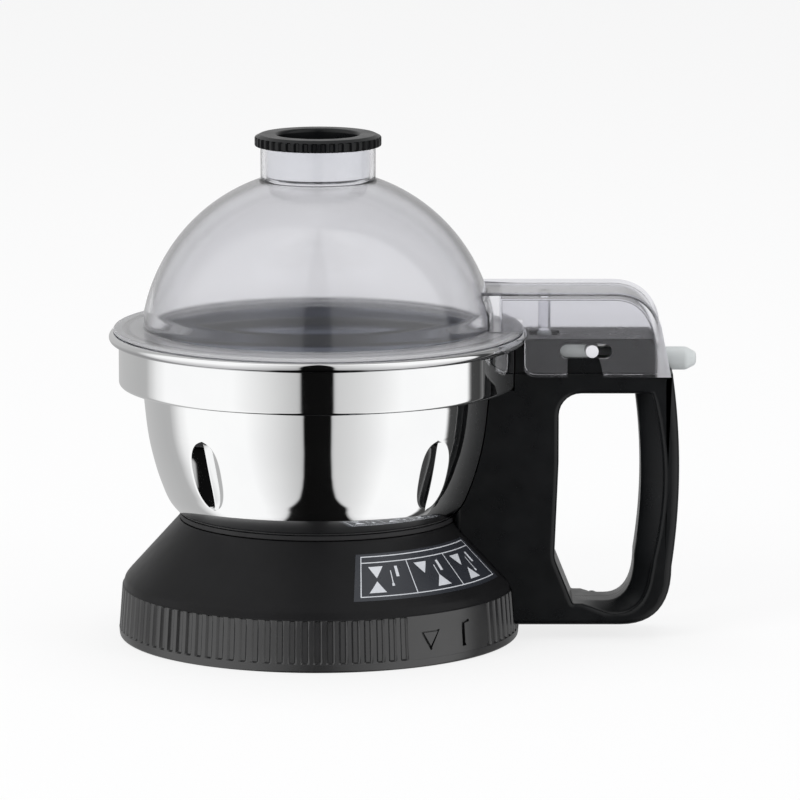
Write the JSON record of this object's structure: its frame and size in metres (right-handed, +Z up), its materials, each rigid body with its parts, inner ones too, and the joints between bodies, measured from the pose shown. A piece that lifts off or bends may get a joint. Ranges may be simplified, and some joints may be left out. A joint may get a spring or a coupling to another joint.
{
  "type": "mixer grinder jar",
  "caption": "Grinding jar of a mixer grinder: steel bowl on a black drive base, black D-handle with lock slider, clear domed lid and stopper.",
  "frame": {"origin": "middle of the base's underside, on the surface that it stands on", "axes": "+X from the bowl's axis towards the handle, -Y towards the front, +Z up"},
  "size_m": [0.252, 0.1798, 0.2171],
  "materials": {
    "polished_steel": "mirror-polished stainless steel",
    "plain_steel": "satin stainless or zinc-plated steel",
    "base_black": "satin moulded black plastic",
    "handle_black": "semi-gloss moulded black plastic",
    "black_rubber": "moulded rubber",
    "cast_alloy": "machined light alloy",
    "bronze": "sintered bronze",
    "clear_plastic": "clear moulded plastic",
    "clear_seal": "translucent silicone",
    "grey_plastic": "light grey moulded plastic",
    "white_plastic": "off-white moulded plastic"
  },
  "bodies": {
    "jar": {"jar_bowl": "polished_steel", "handle_bracket": "plain_steel", "base_housing": "base_black", "bowl_seat_ring": "black_rubber", "handle_front_half": "handle_black", "handle_back_half": "handle_black", "handle_screw_grip_top": "plain_steel", "handle_screw_grip_foot": "plain_steel", "handle_screw_foot": "plain_steel", "handle_screw_column": "plain_steel", "bracket_screw_front": "plain_steel", "bracket_screw_back": "plain_steel", "base_screw_front": "plain_steel", "base_screw_back": "plain_steel", "bearing_housing": "cast_alloy", "housing_seal": "black_rubber", "housing_washer": "plain_steel", "housing_nut": "cast_alloy", "upper_bush": "bronze", "lower_bush": "bronze", "shaft_seal": "black_rubber", "interlock_spring": "plain_steel"},
    "drive": {"drive_shaft": "plain_steel", "thrust_washer": "plain_steel", "shaft_clip": "plain_steel", "drive_coupler": "black_rubber", "blade_spacer": "plain_steel", "lower_blade": "plain_steel", "upper_blade": "plain_steel", "blade_washer": "plain_steel", "blade_nut": "plain_steel"},
    "lid": {"lid_dome": "clear_plastic", "lid_arm": "clear_plastic", "lid_gasket": "clear_seal"},
    "cap": {"cap_stopper": "handle_black", "cap_cup": "polished_steel"},
    "lock": {"lock_slider": "grey_plastic", "lock_pin": "white_plastic"},
    "interlock": {"interlock_rod": "grey_plastic"}
  },
  "joints": [
    {"name": "lid_lift", "type": "slide", "parent": "jar", "child": "lid", "axis": [0, 0, 1], "range_m": [0, 0.07]},
    {"name": "cap_lift", "type": "slide", "parent": "lid", "child": "cap", "axis": [0, 0, 1], "range_m": [0, 0.03]},
    {"name": "blade_spin", "type": "hinge", "parent": "jar", "child": "drive", "pos_m": [0, 0, 0.04], "axis": [0, 0, 1], "continuous": true},
    {"name": "lock_slide", "type": "slide", "parent": "jar", "child": "lock", "axis": [1, 0, 0], "range_m": [-0.0098, 0.0048]},
    {"name": "interlock_press", "type": "slide", "parent": "jar", "child": "interlock", "axis": [0, 0, -1], "range_m": [0, 0.004], "stiffness_N_per_m": 150, "springref_m": -0.002, "deforming": ["interlock_spring"]}
  ]
}
